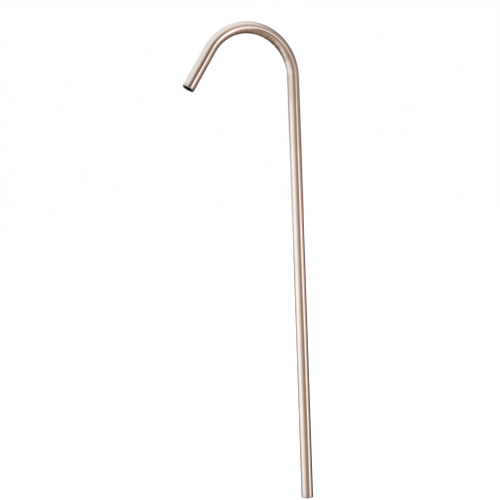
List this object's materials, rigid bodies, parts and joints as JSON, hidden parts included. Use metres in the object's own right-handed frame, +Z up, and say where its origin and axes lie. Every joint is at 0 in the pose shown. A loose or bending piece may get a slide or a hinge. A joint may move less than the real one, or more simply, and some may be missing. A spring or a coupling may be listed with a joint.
{
  "type": "tent stake",
  "caption": "Round thin-walled metal tube, straight for most of its length and bent at the top into an open crook that holds a guy line or a fabric loop down.",
  "frame": {"origin": "centre of the foot's cut end, on the shaft's axis", "axes": "+Z up the shaft towards the crook; the crook lies in the XZ plane and opens towards -X; Y is across the tube"},
  "size_m": [0.081, 0.008, 0.3158],
  "materials": {
    "satin_steel": "satin, from a fine belt run round the tube, with a warm tint"
  },
  "bodies": {
    "root": {"bent_tube": "satin_steel"}
  },
  "joints": []
}
